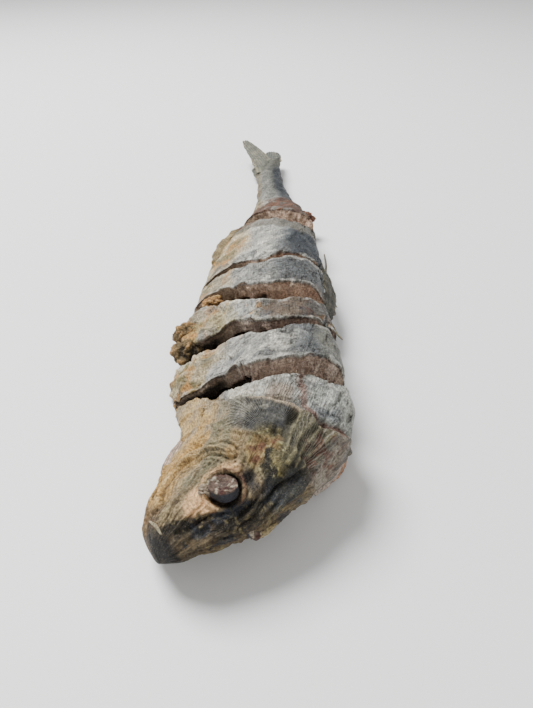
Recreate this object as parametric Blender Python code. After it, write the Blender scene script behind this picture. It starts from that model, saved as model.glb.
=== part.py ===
"""Freeze-dried sardine, whole, with the knife cuts that the drier opened.

The fish lies on its left flank with the right flank up. The head points to -Y, is bent
towards the belly and rolled further upright than the body. Five cuts run down into the
right flank, each across the fish from belly edge to back.

One loft makes the head, the body and the cuts: its rings are sections of the fish across
a bent centre line, and where a knife went in, the rings are clipped to the floor of the
cut. Fins, gill flaps, eyes, bone slivers and lumps of flesh are small closed bodies that
one Boolean union joins to it, because the dried fish is a single piece.
"""
import bmesh
import bpy
import numpy as np
from mathutils import Vector

# Everything below is in millimetres and degrees until a mesh is made
MM = 0.001
LOFT_LENGTH = 171.0        # snout to the fork of the tail, along the centre line
SNOUT_X = -16.6            # where the centre line starts
SNOUT_Y = -87.6
FOOTPRINT_MIDDLE = (-2.44, 2.55)   # middle of the fish's footprint, moved to the origin
SECTION_POINTS = 48        # points round each ring
SKIN_STEP = 3.0            # spacing of the rings along uncut skin
SNOUT_BUNCHING = 1.25      # the rings stand closer together towards the snout

# Shape down the fish, as pairs of (distance from the snout, value)
HEADING = ((0, 42), (10, 39), (17, 33), (24, 24), (30, 14), (37, 4), (44, -4), (52, -6),
           (60, -2), (75, 3), (92, 4), (107, 5), (118, 3), (130, -1), (144, -2), (172, -6))
CENTRE_HEIGHT = ((0, 6.5), (4, 7.2), (10, 6.7), (17, 7.2), (30, 8.6), (38, 8.0), (48, 7.5), (75, 7.4),
                 (107, 6.6), (130, 5.0), (158, 4.6), (172, 4.8))
ROLL = ((0, 52), (10, 54), (20, 47), (30, 46), (38, 54), (46, 60), (55, 63), (75, 64),
        (110, 66), (172, 68))
BELLY_DROOP = ((0, 4), (10, 14), (24, 28), (36, 30), (50, 22), (70, 14), (90, 8), (120, 0),
               (172, 0))
BACK_DEPTH = ((0, 0.8), (1, 3.1), (4, 5.9), (10, 9.6), (17, 12.2), (24, 13.8), (30, 14.6),
              (37, 14.0), (50, 14.6), (60, 15.0), (75, 14.8), (92, 14.0), (107, 12.4),
              (118, 9.8), (130, 6.6), (144, 5.0), (158, 4.6), (172, 6.4))
BELLY_DEPTH = ((0, 0.8), (1, 4.4), (4, 8.5), (10, 12.8), (17, 16.0), (24, 18.0), (30, 18.8),
               (38, 20.2), (50, 20.6), (60, 19.8), (75, 18.0), (92, 17.0), (107, 15.0),
               (118, 10.2), (130, 6.4), (144, 4.8), (158, 4.6), (172, 6.0))
RIGHT_HALF = ((0, 0.8), (1, 2.6), (4, 4.8), (10, 6.4), (17, 7.8), (24, 9.0), (30, 9.8),
              (37, 9.8), (43, 9.0), (50, 8.6), (75, 8.0), (92, 7.4), (107, 6.4), (118, 5.4),
              (130, 4.2), (144, 3.2), (158, 2.0), (172, 0.9))
LEFT_HALF = ((0, 0.8), (1, 1.6), (4, 2.8), (10, 4.9), (17, 8.0), (24, 11.0), (30, 12.0),
             (36, 10.0), (43, 8.6), (50, 8.0), (75, 7.6), (92, 7.2), (107, 6.4), (118, 5.4),
             (130, 4.2), (144, 3.2), (158, 2.0), (172, 0.9))
KEEL = ((0, 0.0), (10, 0.12), (24, 0.2), (40, 0.25), (75, 0.25), (107, 0.15), (130, 0.05),
        (172, 0.0))
BOXINESS = ((0, 2.1), (10, 2.7), (24, 2.4), (40, 2.1), (75, 2.0), (172, 2.0))

# Knife cuts: the front and rear rim as pairs of (angle round the fish, distance from the
# snout), and the height of the cut's floor under the centre line
CUT_TILT = 0.22            # the floor of a cut rises this much for each millimetre to the back
CUT_NARROWING = 0.05       # the ends of a cut draw in by this share for each millimetre down,
NARROWED_DEPTH = 2.0       # over this first depth
CUTS = (
    {"front": ((-52, 32.0), (0, 30.6), (35, 27.6), (62, 26.8), (100, 29.6), (138, 37.0),
               (170, 38.4)),
     "rear": ((-52, 37.4), (0, 37.0), (13, 35.4), (29, 33.8), (59, 33.8), (95, 37.4),
              (138, 40.8), (170, 43.0)),
     "floor": 6.0},
    {"front": ((-52, 45.6), (4, 46.2), (29, 45.3), (52, 44.2), (81, 46.7), (95, 49.3),
               (119, 50.7), (170, 52.4)),
     "rear": ((-52, 47.6), (4, 48.2), (38, 48.0), (52, 48.2), (74, 50.8), (96, 54.9),
              (115, 55.7), (170, 57.6)),
     "floor": 5.0},
    {"front": ((-52, 58.6), (10, 56.4), (53, 55.0), (74, 57.9), (95, 61.5), (114, 65.0),
               (132, 68.0), (170, 70.0)),
     "rear": ((-52, 60.6), (10, 62.4), (46, 62.8), (64, 63.6), (88, 67.1), (126, 72.8),
              (170, 74.6)),
     "floor": 5.8},
    {"front": ((-52, 74.4), (41, 74.0), (73, 73.4), (105, 78.2), (120, 80.0), (170, 82.0)),
     "rear": ((-52, 75.2), (10, 75.9), (41, 76.4), (73, 76.4), (105, 81.6), (120, 82.8),
              (170, 83.8)),
     "floor": 7.0},
    {"front": ((-52, 97.6), (10, 96.2), (40, 95.6), (62, 99.5), (102, 106.6), (130, 109.6),
               (170, 111.6)),
     "rear": ((-52, 102.0), (10, 105.0), (40, 107.0), (62, 109.4), (102, 115.0), (130, 117.6),
              (170, 119.0)),
     "floor": 6.2},
)
# How far down a cut each ring inside it lies: (place across the cut, share of its depth)
CUT_PROFILE = ((0.05, 0.30), (0.12, 0.75), (0.24, 0.96), (0.50, 1.0), (0.74, 0.94),
               (0.87, 0.66), (0.95, 0.25))
CUT_FLESH_FROM = -25       # angles round the fish between which a cut lays flesh bare
CUT_FLESH_TO = 175
LIP_RISE = 0.35            # dried skin stands up along each cut
LIP_REACH = 1.2
SWELL = 0.45               # each section bulges between its cuts
UNEVEN = 0.30              # low bumps all over the dried fish
FLOOR_UNEVEN = 2.0         # they are this much larger on the torn floors of the cuts
END_FADE = 12.0            # lips and bumps fade out over this distance at either end
UNDERSIDE_ROUNDING = 0.8   # rounding where the flank turns under
UNDERSIDE_FLAT = 0.12      # how much of the underside has dried flat
THIN_SECTION = 3.0         # closer to the centre line than this, a rise is scaled down
THIN_EDGE = 1.2            # least thickness left under the upper skin and the cuts

# Eyes, as (distance from the snout, angle, how far the middle lies under the smooth head)
RIGHT_EYE = (10.8, 24.0, 0.5)
LEFT_EYE = (12.0, -42.0, 1.1)
EYE_RADIUS = 2.6           # a flat, shrunken button
EYE_HALF_THICKNESS = 1.5
LUMP_CLEARANCE = 0.2       # lumps at the edge of the fish stop this far above the floor


def smooth_curve(pairs, where):
    """A smooth curve through pairs of (place, value), read at the given places."""
    places, values = np.array(pairs, dtype=float).T
    gaps = np.diff(places)
    rises = np.diff(values) / gaps
    slopes = np.empty_like(values)
    slopes[0] = rises[0]
    slopes[-1] = rises[-1]
    slopes[1:-1] = (gaps[1:] * rises[:-1] + gaps[:-1] * rises[1:]) / (gaps[1:] + gaps[:-1])
    where = np.clip(where, places[0], places[-1])
    left = np.clip(np.searchsorted(places, where) - 1, 0, len(gaps) - 1)
    gap = gaps[left]
    t = (where - places[left]) / gap
    start = (1 + 2 * t) * (1 - t) ** 2 * values[left] + t * (1 - t) ** 2 * gap * slopes[left]
    end = t * t * (3 - 2 * t) * values[left + 1] + t * t * (t - 1) * gap * slopes[left + 1]
    return start + end


def round_curve(pairs, angle):
    """The same, for pairs that go once round the fish and close on themselves."""
    once = [(a, v) for a, v in pairs]
    before = [(a - 360, v) for a, v in pairs]
    after = [(a + 360, v) for a, v in pairs]
    return smooth_curve(before + once + after, angle)


def centre_line(station):
    """Points down the middle of the fish, walked along its heading from the snout."""
    steps = np.linspace(0.0, LOFT_LENGTH + 4.0, 1800)
    heading = np.radians(smooth_curve(HEADING, steps))
    stride = steps[1] - steps[0]
    x = SNOUT_X + np.cumsum(np.sin(heading)) * stride
    y = SNOUT_Y + np.cumsum(np.cos(heading)) * stride
    height = smooth_curve(CENTRE_HEIGHT, station)
    return np.stack([np.interp(station, steps, x), np.interp(station, steps, y), height], -1)


def fish_point(station, angle, cut_share=0.0, cut_floor=0.0, rise=0.0):
    """A point of the fish's surface. Angle 0 is the back, 90 the right flank, 180 the belly.

    cut_share tells how far the point is pushed down towards the floor of a knife cut, and
    rise lifts it off the smooth form.
    """
    station, angle = np.broadcast_arrays(np.asarray(station, float), np.asarray(angle, float))
    turn = np.radians(angle)
    power = 2.0 / smooth_curve(BOXINESS, station)
    along = np.sign(np.cos(turn)) * np.abs(np.cos(turn)) ** power
    across = np.sign(np.sin(turn)) * np.abs(np.sin(turn)) ** power
    depth = np.where(along > 0, smooth_curve(BACK_DEPTH, station), smooth_curve(BELLY_DEPTH, station))
    half = np.where(across > 0, smooth_curve(RIGHT_HALF, station), smooth_curve(LEFT_HALF, station))
    a = depth * along
    b = half * across * (1 + smooth_curve(KEEL, station) * along)
    stretch = 1 + rise / np.maximum(np.hypot(a, b), THIN_SECTION)
    a = a * stretch
    b = b * stretch

    roll = smooth_curve(ROLL, station)
    droop = smooth_curve(BELLY_DROOP, station) * along
    to_back = np.radians(roll - 0.5 * droop)
    to_flank = np.radians(roll - droop)
    heading = np.radians(smooth_curve(HEADING, station))
    sideways = a * np.sin(to_back) - b * np.cos(to_flank)
    upwards = a * np.cos(to_back) + b * np.sin(to_flank)
    point = centre_line(station)
    point[..., 2] += upwards
    sunk = cut_share * np.maximum(point[..., 2] - cut_floor - CUT_TILT * sideways, 0.0)
    sideways = sideways * (1 - CUT_NARROWING * np.minimum(sunk, NARROWED_DEPTH))
    point[..., 0] += sideways * np.cos(heading)
    point[..., 1] -= sideways * np.sin(heading)
    point[..., 2] -= sunk
    return rest_on_surface(point, THIN_EDGE * np.sqrt(np.maximum(across, 0.0)))


def unevenness(point):
    """Low bumps that follow where the point is, so that neighbouring rings agree."""
    x, y, z = point[..., 0], point[..., 1], point[..., 2]
    bumps = np.sin(0.83 * x + 0.31 * y + 0.7) * np.sin(0.52 * y - 0.44 * z + 1.9)
    bumps += 0.7 * np.sin(1.31 * x - 0.62 * z + 2.4) * np.sin(1.07 * y + 0.5)
    return UNEVEN * bumps


def rest_on_surface(point, thickness):
    """Flatten the underside onto z = 0, as the soft fish dried lying on it.

    The upper skin comes down no further than the thickness of what is left under it.
    """
    height = (point[..., 2] - thickness) / UNDERSIDE_ROUNDING
    height = UNDERSIDE_ROUNDING * np.logaddexp(0.0, height) - UNDERSIDE_FLAT
    point[..., 2] = np.maximum(height, 0.0) + thickness
    return point


def fish_rings():
    """All rings of the loft, snout to tail, and whether each lies inside a cut."""
    angle = np.linspace(-180.0, 180.0, SECTION_POINTS, endpoint=False)
    rims = [np.zeros_like(angle)]
    for cut in CUTS:
        rims.append(round_curve(cut["front"], angle))
        rims.append(round_curve(cut["rear"], angle))
    rims.append(np.full_like(angle, LOFT_LENGTH))

    rings = []
    inside = []
    for k in range(0, len(rims), 2):
        first, last = rims[k], rims[k + 1]
        length = float(np.max(last - first))
        count = max(4, int(round(length / SKIN_STEP)))
        for j in range(count + 1):
            share = j / count
            if k == 0:
                share = share ** SNOUT_BUNCHING
            station = first + share * (last - first)
            to_rim = np.minimum(station - first, last - station)
            swell = SWELL * np.sin(np.pi * share)
            if k == 0:
                to_rim = last - station
                swell = 0.0
            if k == len(rims) - 2:
                to_rim = station - first
                swell = 0.0
            lip = LIP_RISE * np.exp(-to_rim / LIP_REACH)
            to_end = np.minimum(station, LOFT_LENGTH + 0.5 * END_FADE - station)
            fade = np.minimum(1.0, to_end / END_FADE)
            rise = (lip + swell + unevenness(fish_point(station, angle))) * fade
            rings.append(fish_point(station, angle, rise=rise))
            inside.append(False)
        if k + 2 < len(rims):
            start, end = rims[k + 1], rims[k + 2]
            floor = CUTS[k // 2]["floor"]
            for place, share in CUT_PROFILE:
                station = start + place * (end - start)
                bumps = unevenness(fish_point(station, angle))
                rise = LIP_RISE * (1 - share) + bumps
                rings.append(fish_point(station, angle, share, floor + FLOOR_UNEVEN * bumps, rise))
                inside.append(True)
    return rings, inside


def new_material(name, colour, roughness, metallic=0.0):
    material = bpy.data.materials.new(name)
    material.use_nodes = True
    shader = material.node_tree.nodes["Principled BSDF"]
    shader.inputs["Base Color"].default_value = (*colour, 1.0)
    shader.inputs["Roughness"].default_value = roughness
    shader.inputs["Metallic"].default_value = metallic
    return material


def add_object(name, mesh, collection, *materials):
    item = bpy.data.objects.new(name, mesh)
    for material in materials:
        mesh.materials.append(material)
    collection.objects.link(item)
    return item


def to_world(point):
    """Millimetres of the form to metres, with the middle of the footprint at the origin."""
    middle = Vector((FOOTPRINT_MIDDLE[0], FOOTPRINT_MIDDLE[1], 0.0))
    return (Vector(point) - middle) * MM


def make_body(collection, skin, flesh):
    """Loft the rings into one closed skin; faces inside the cuts are flesh."""
    rings, inside = fish_rings()
    mesh = bmesh.new()
    loops = []
    for ring in rings:
        loops.append([mesh.verts.new(to_world(point)) for point in ring])
    for k in range(len(loops) - 1):
        cut = inside[k] or inside[k + 1]
        for j in range(SECTION_POINTS):
            after = (j + 1) % SECTION_POINTS
            corners = (loops[k][j], loops[k][after], loops[k + 1][after], loops[k + 1][j])
            face = mesh.faces.new(corners)
            angle = 360 * j / SECTION_POINTS - 180
            face.material_index = 1 if cut and CUT_FLESH_FROM < angle < CUT_FLESH_TO else 0
    mesh.faces.new(loops[0][::-1])
    mesh.faces.new(loops[-1])
    bmesh.ops.triangulate(mesh, faces=mesh.faces[:])
    bmesh.ops.recalc_face_normals(mesh, faces=mesh.faces[:])
    data = bpy.data.meshes.new("sardine")
    mesh.to_mesh(data)
    mesh.free()
    return add_object("sardine", data, collection, skin, flesh)


def make_blade(name, path, width, thickness, facing, collection, material, sides=8, steps=9):
    """A thin tapering strip along a path of three or more points: a fin, flap or sliver.

    facing is the direction that the strip's flat side looks in.
    """
    path = np.array(path, dtype=float)
    places = np.linspace(0.0, 1.0, len(path))
    share = np.linspace(0.0, 1.0, steps)
    centre = np.stack([smooth_curve(list(zip(places, path[:, k])), share) for k in range(3)], -1)
    flat = Vector(facing).normalized()
    mesh = bmesh.new()
    loops = []
    for k in range(steps):
        ahead = Vector(centre[min(k + 1, steps - 1)]) - Vector(centre[max(k - 1, 0)])
        side = ahead.cross(flat).normalized()
        taper = np.sin(np.pi * (0.12 + 0.80 * share[k])) ** 0.6
        loop = []
        for j in range(sides):
            turn = 2 * np.pi * j / sides
            offset = side * (0.5 * width * taper * np.cos(turn))
            offset += flat * (0.5 * thickness * np.sin(turn))
            loop.append(mesh.verts.new(to_world(Vector(centre[k]) + offset)))
        loops.append(loop)
    for k in range(steps - 1):
        for j in range(sides):
            after = (j + 1) % sides
            mesh.faces.new((loops[k][j], loops[k][after], loops[k + 1][after], loops[k + 1][j]))
    mesh.faces.new(loops[0][::-1])
    mesh.faces.new(loops[-1])
    bmesh.ops.triangulate(mesh, faces=mesh.faces[:])
    bmesh.ops.recalc_face_normals(mesh, faces=mesh.faces[:])
    data = bpy.data.meshes.new(name)
    mesh.to_mesh(data)
    mesh.free()
    return add_object(name, data, collection, material)


def make_lump(name, centre, radii, collection, material, detail=2, rough=0.12, tilt=None):
    """A rounded lump: a squashed ball with low bumps, used for flesh and for the eyes."""
    mesh = bmesh.new()
    bmesh.ops.create_icosphere(mesh, subdivisions=detail, radius=1.0)
    for vertex in mesh.verts:
        bump = np.sin(3.1 * vertex.co.x + centre[1]) * np.sin(2.7 * vertex.co.y + centre[0])
        vertex.co *= 1 + rough * float(bump)
        vertex.co = Vector((vertex.co.x * radii[0], vertex.co.y * radii[1], vertex.co.z * radii[2]))
    if tilt is not None:
        turn = Vector((0, 0, 1)).rotation_difference(Vector(tilt)).to_matrix().to_4x4()
        bmesh.ops.transform(mesh, matrix=turn, verts=mesh.verts[:])
    for vertex in mesh.verts:
        vertex.co = to_world(Vector(centre) + vertex.co)
        vertex.co.z = max(vertex.co.z, LUMP_CLEARANCE * MM)
    data = bpy.data.meshes.new(name)
    mesh.to_mesh(data)
    mesh.free()
    return add_object(name, data, collection, material)


def make_eye(name, where, collection, material):
    """A shrunken eye standing in the side of the head, facing straight out of it."""
    station, angle, sink = where
    centre = fish_point(station, angle)
    ahead = fish_point(station + 1.0, angle) - centre
    round_it = fish_point(station, angle + 4.0) - centre
    outward = Vector(ahead).cross(Vector(round_it)).normalized()
    place = Vector(centre) - outward * sink
    return make_lump(name, place, (EYE_RADIUS, EYE_RADIUS, EYE_HALF_THICKNESS), collection,
                     material, detail=3, rough=0.05, tilt=outward)


def on_skin(*places):
    """A path over the smooth skin, from (distance from the snout, angle, lift) of its points."""
    return [fish_point(station, angle, rise=lift) for station, angle, lift in places]


def add_small_parts(collection, skin, flesh, fin, bone, eye):
    """Everything that stands off the lofted form, each a closed body of its own."""
    make_eye("right_eye", RIGHT_EYE, collection, eye)
    make_eye("left_eye", LEFT_EYE, collection, eye)
    make_blade("right_gill_flap", ((-13.6, -73.0, 6.0), (-15.6, -67.6, 4.4), (-13.6, -60.5, 4.6)),
               7.0, 1.0, (-0.5, 0.1, 0.85), collection, skin)
    make_blade("left_gill_cover", ((12.6, -60.0, 9.0), (12.2, -66.5, 5.4), (7.6, -73.6, 3.6)),
               8.0, 1.2, (0.75, -0.55, 0.35), collection, skin)
    make_blade("left_cheek_bone", on_skin((10.6, -52, 0.5), (12.4, -57, 0.6), (14.6, -60, 0.3)),
               1.6, 1.0, (0.5, -0.7, 0.5), collection, bone, sides=6, steps=6)
    make_blade("upper_jaw_bone", on_skin((3.0, 100, 0.3), (2.7, 78, 0.3), (2.3, 56, 0.25)),
               1.2, 0.9, (-0.5, -0.3, 0.8), collection, bone, sides=6, steps=6)
    make_blade("dorsal_fin", ((12.6, -36.0, 11.5), (14.6, -27.0, 10.0), (15.0, -17.0, 9.4),
                              (13.4, -7.0, 9.6)),
               5.0, 1.1, (0.8, 0.0, 0.6), collection, fin, steps=11)
    make_blade("dorsal_ray_long", ((12.4, -29.0, 10.6), (14.4, -33.4, 8.6), (16.2, -37.0, 7.6)),
               1.1, 0.9, (0.6, 0.2, 0.8), collection, fin, sides=6, steps=6)
    make_blade("dorsal_ray_short", ((12.2, -29.4, 10.4), (13.4, -33.4, 8.8), (14.4, -36.6, 7.8)),
               1.1, 0.9, (0.6, 0.2, 0.8), collection, fin, sides=6, steps=6)
    make_blade("belly_strip", ((-6.6, 21.0, 5.4), (-11.2, 12.6, 4.9), (-14.0, 2.0, 4.2)),
               5.0, 3.2, (-0.5, 0.0, 0.85), collection, flesh)
    make_blade("tail_long_lobe", ((0.6, 74.0, 4.8), (-3.6, 82.6, 6.0), (-7.9, 93.2, 8.8)),
               6.4, 1.2, (0.1, -0.25, 0.95), collection, fin)
    make_blade("tail_short_lobe", ((1.4, 74.0, 4.8), (2.4, 80.6, 5.4), (3.2, 86.0, 6.0)),
               8.0, 1.2, (0.0, -0.15, 1.0), collection, fin)
    make_lump("belly_lump_front", (-17.0, -36.6, 3.6), (3.8, 3.0, 2.9), collection, flesh, 3)
    make_lump("belly_lump_middle", (-18.0, -30.6, 3.6), (3.6, 2.6, 2.9), collection, flesh, 3)
    make_lump("belly_lump_rear", (-12.4, -21.6, 6.6), (2.8, 1.6, 1.6), collection, flesh, 2)
    make_lump("vent_flesh", (10.4, 26.0, 6.0), (4.6, 2.6, 2.4), collection, flesh, 2)


def join_small_parts(body, collection):
    """One union takes the small parts into the body, and they are then removed."""
    union = body.modifiers.new("join small parts", "BOOLEAN")
    union.operation = "UNION"
    union.operand_type = "COLLECTION"
    union.collection = collection
    union.solver = "EXACT"
    bpy.context.view_layer.update()
    joined = bpy.data.meshes.new_from_object(body.evaluated_get(bpy.context.evaluated_depsgraph_get()))
    body.modifiers.clear()
    body.data = joined
    for item in list(collection.objects):
        bpy.data.objects.remove(item)
    bpy.data.collections.remove(collection)


def main():
    for item in list(bpy.data.objects):
        bpy.data.objects.remove(item)
    fish = bpy.data.collections.new("freeze_dried_sardine")
    small_parts = bpy.data.collections.new("small_parts")
    for collection in (fish, small_parts):
        bpy.context.scene.collection.children.link(collection)

    skin = new_material("silver skin", (0.52, 0.53, 0.50), 0.38, 0.35)
    flesh = new_material("dried flesh", (0.22, 0.14, 0.09), 0.85)
    fin = new_material("dried fin", (0.33, 0.33, 0.28), 0.60)
    bone = new_material("dried bone", (0.58, 0.50, 0.34), 0.55)
    eye = new_material("shrunken eye", (0.10, 0.09, 0.11), 0.35)

    body = make_body(fish, skin, flesh)
    add_small_parts(small_parts, skin, flesh, fin, bone, eye)
    join_small_parts(body, small_parts)
    body.data.shade_smooth()
    body.data.set_sharp_from_angle(angle=np.radians(50))


main()
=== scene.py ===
import bpy
import numpy as np
from mathutils import Matrix, Vector


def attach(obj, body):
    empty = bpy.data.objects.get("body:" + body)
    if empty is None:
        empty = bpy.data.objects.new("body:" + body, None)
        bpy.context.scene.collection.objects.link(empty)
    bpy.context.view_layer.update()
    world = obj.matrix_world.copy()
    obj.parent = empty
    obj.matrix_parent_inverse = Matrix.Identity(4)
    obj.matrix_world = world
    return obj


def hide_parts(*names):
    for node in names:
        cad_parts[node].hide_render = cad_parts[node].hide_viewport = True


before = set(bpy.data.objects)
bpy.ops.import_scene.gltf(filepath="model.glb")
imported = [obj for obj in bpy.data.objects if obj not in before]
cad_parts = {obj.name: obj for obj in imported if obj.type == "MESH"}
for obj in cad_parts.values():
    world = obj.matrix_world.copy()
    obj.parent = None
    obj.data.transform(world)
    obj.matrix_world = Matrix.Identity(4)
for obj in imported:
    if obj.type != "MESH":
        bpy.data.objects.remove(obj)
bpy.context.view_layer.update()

# The studio
# A plain pale floor under a large soft lamp from above and behind, with a weak fill from
# the front. The camera looks down at the head from 39 degrees.
def put_in_scene(thing):
    bpy.context.scene.collection.objects.link(thing)


camera_data = bpy.data.cameras.new("camera")
camera_data.lens = 27.0
camera_data.sensor_width = 36.0
camera_data.clip_start = 0.01
camera = bpy.data.objects.new("camera", camera_data)
put_in_scene(camera)
look_right = Vector((0.99995, -0.00650, -0.00790))
look_up = Vector((0.01023, 0.63526, 0.77223))
look_back = Vector((0.0, -0.77227, 0.63529))
turn = Matrix((look_right, look_up, look_back)).transposed().to_4x4()
camera.matrix_world = Matrix.Translation((0.002473, -0.131195, 0.079073)) @ turn
bpy.context.scene.camera = camera

floor_mesh = bpy.data.meshes.new("studio_floor")
floor_corners = [(-1.2, -1.2, 0), (1.2, -1.2, 0), (1.2, 1.6, 0), (-1.2, 1.6, 0)]
floor_mesh.from_pydata(floor_corners, [], [(0, 1, 2, 3)])
studio_floor = bpy.data.objects.new("studio_floor", floor_mesh)
put_in_scene(studio_floor)
floor_paint = bpy.data.materials.new("pale floor")
floor_paint.use_nodes = True
floor_shader = floor_paint.node_tree.nodes["Principled BSDF"]
floor_shader.inputs["Base Color"].default_value = (0.86, 0.86, 0.86, 1.0)
floor_shader.inputs["Roughness"].default_value = 0.55
floor_mesh.materials.append(floor_paint)

world = bpy.data.worlds.new("studio")
world.use_nodes = True
sky = world.node_tree.nodes["Background"].inputs
sky["Color"].default_value = (0.82, 0.82, 0.81, 1.0)
sky["Strength"].default_value = 0.62
bpy.context.scene.world = world


def hang_lamp(name, place, aim, size, power):
    lamp_data = bpy.data.lights.new(name, "AREA")
    lamp_data.shape = "DISK"
    lamp_data.size = size
    lamp_data.energy = power
    lamp = bpy.data.objects.new(name, lamp_data)
    lamp.location = place
    lamp.rotation_euler = (Vector(aim) - Vector(place)).to_track_quat("-Z", "Y").to_euler()
    put_in_scene(lamp)


hang_lamp("overhead_softbox", (-0.26, 0.22, 0.60), (0, 0, 0), 0.36, 10.5)
hang_lamp("front_fill", (0.25, -0.60, 0.50), (0, 0, 0), 0.60, 1.2)


# The fish's form
# The soft fish dried on its left flank, bent towards the belly. Its skin is a run of rings
# across a bent centre line, and each knife cut is a dip in the rings down to a torn floor.
# These are the sizes that the solid has too, in millimetres and degrees.
MM = 0.001
LOFT_LENGTH = 171.0
SNOUT_X = -16.6
SNOUT_Y = -87.6
FOOTPRINT_MIDDLE = (-2.44, 2.55)
HEADING = ((0, 42), (10, 39), (17, 33), (24, 24), (30, 14), (37, 4), (44, -4), (52, -6),
           (60, -2), (75, 3), (92, 4), (107, 5), (118, 3), (130, -1), (144, -2), (172, -6))
CENTRE_HEIGHT = ((0, 6.5), (4, 7.2), (10, 6.7), (17, 7.2), (30, 8.6), (38, 8.0), (48, 7.5), (75, 7.4),
                 (107, 6.6), (130, 5.0), (158, 4.6), (172, 4.8))
ROLL = ((0, 52), (10, 54), (20, 47), (30, 46), (38, 54), (46, 60), (55, 63), (75, 64),
        (110, 66), (172, 68))
BELLY_DROOP = ((0, 4), (10, 14), (24, 28), (36, 30), (50, 22), (70, 14), (90, 8), (120, 0),
               (172, 0))
BACK_DEPTH = ((0, 0.8), (1, 3.1), (4, 5.9), (10, 9.6), (17, 12.2), (24, 13.8), (30, 14.6),
              (37, 14.0), (50, 14.6), (60, 15.0), (75, 14.8), (92, 14.0), (107, 12.4),
              (118, 9.8), (130, 6.6), (144, 5.0), (158, 4.6), (172, 6.4))
BELLY_DEPTH = ((0, 0.8), (1, 4.4), (4, 8.5), (10, 12.8), (17, 16.0), (24, 18.0), (30, 18.8),
               (38, 20.2), (50, 20.6), (60, 19.8), (75, 18.0), (92, 17.0), (107, 15.0),
               (118, 10.2), (130, 6.4), (144, 4.8), (158, 4.6), (172, 6.0))
RIGHT_HALF = ((0, 0.8), (1, 2.6), (4, 4.8), (10, 6.4), (17, 7.8), (24, 9.0), (30, 9.8),
              (37, 9.8), (43, 9.0), (50, 8.6), (75, 8.0), (92, 7.4), (107, 6.4), (118, 5.4),
              (130, 4.2), (144, 3.2), (158, 2.0), (172, 0.9))
LEFT_HALF = ((0, 0.8), (1, 1.6), (4, 2.8), (10, 4.9), (17, 8.0), (24, 11.0), (30, 12.0),
             (36, 10.0), (43, 8.6), (50, 8.0), (75, 7.6), (92, 7.2), (107, 6.4), (118, 5.4),
             (130, 4.2), (144, 3.2), (158, 2.0), (172, 0.9))
KEEL = ((0, 0.0), (10, 0.12), (24, 0.2), (40, 0.25), (75, 0.25), (107, 0.15), (130, 0.05),
        (172, 0.0))
BOXINESS = ((0, 2.1), (10, 2.7), (24, 2.4), (40, 2.1), (75, 2.0), (172, 2.0))
CUT_TILT = 0.22
CUT_NARROWING = 0.05
NARROWED_DEPTH = 2.0
CUTS = (
    {"front": ((-52, 32.0), (0, 30.6), (35, 27.6), (62, 26.8), (100, 29.6), (138, 37.0),
               (170, 38.4)),
     "rear": ((-52, 37.4), (0, 37.0), (13, 35.4), (29, 33.8), (59, 33.8), (95, 37.4),
              (138, 40.8), (170, 43.0)),
     "floor": 6.0, "rings": 84},
    {"front": ((-52, 45.6), (4, 46.2), (29, 45.3), (52, 44.2), (81, 46.7), (95, 49.3),
               (119, 50.7), (170, 52.4)),
     "rear": ((-52, 47.6), (4, 48.2), (38, 48.0), (52, 48.2), (74, 50.8), (96, 54.9),
              (115, 55.7), (170, 57.6)),
     "floor": 5.0, "rings": 64},
    {"front": ((-52, 58.6), (10, 56.4), (53, 55.0), (74, 57.9), (95, 61.5), (114, 65.0),
               (132, 68.0), (170, 70.0)),
     "rear": ((-52, 60.6), (10, 62.4), (46, 62.8), (64, 63.6), (88, 67.1), (126, 72.8),
              (170, 74.6)),
     "floor": 5.8, "rings": 64},
    {"front": ((-52, 74.4), (41, 74.0), (73, 73.4), (105, 78.2), (120, 80.0), (170, 82.0)),
     "rear": ((-52, 75.2), (10, 75.9), (41, 76.4), (73, 76.4), (105, 81.6), (120, 82.8),
              (170, 83.8)),
     "floor": 7.0, "rings": 44},
    {"front": ((-52, 97.6), (10, 96.2), (40, 95.6), (62, 99.5), (102, 106.6), (130, 109.6),
               (170, 111.6)),
     "rear": ((-52, 102.0), (10, 105.0), (40, 107.0), (62, 109.4), (102, 115.0), (130, 117.6),
              (170, 119.0)),
     "floor": 6.2, "rings": 56},
)
CUT_PROFILE = ((0.0, 0.0), (0.05, 0.30), (0.12, 0.75), (0.24, 0.96), (0.50, 1.0), (0.74, 0.94),
               (0.87, 0.66), (0.95, 0.25), (1.0, 0.0))
LIP_RISE = 0.35
LIP_REACH = 1.2
SWELL = 0.45
UNEVEN = 0.30
FLOOR_UNEVEN = 2.0
END_FADE = 12.0
UNDERSIDE_ROUNDING = 0.8
UNDERSIDE_FLAT = 0.12
THIN_SECTION = 3.0
THIN_EDGE = 1.2
GIRTH_RADIUS = 14.0
CENTRE_STEPS = 1800
SLIT_WIDTH = 7.0
SLIT_DEPTH = 10.0
TORN_RADIUS = 24.0
CUT_SPACING = 50.0


def smooth_curve(pairs, where):
    """A smooth curve through pairs of (place, value), read at the given places."""
    places, values = np.array(pairs, dtype=float).T
    gaps = np.diff(places)
    rises = np.diff(values) / gaps
    slopes = np.empty_like(values)
    slopes[0] = rises[0]
    slopes[-1] = rises[-1]
    slopes[1:-1] = (gaps[1:] * rises[:-1] + gaps[:-1] * rises[1:]) / (gaps[1:] + gaps[:-1])
    where = np.clip(where, places[0], places[-1])
    left = np.clip(np.searchsorted(places, where) - 1, 0, len(gaps) - 1)
    gap = gaps[left]
    t = (where - places[left]) / gap
    start = (1 + 2 * t) * (1 - t) ** 2 * values[left] + t * (1 - t) ** 2 * gap * slopes[left]
    end = t * t * (3 - 2 * t) * values[left + 1] + t * t * (t - 1) * gap * slopes[left + 1]
    return start + end


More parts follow.
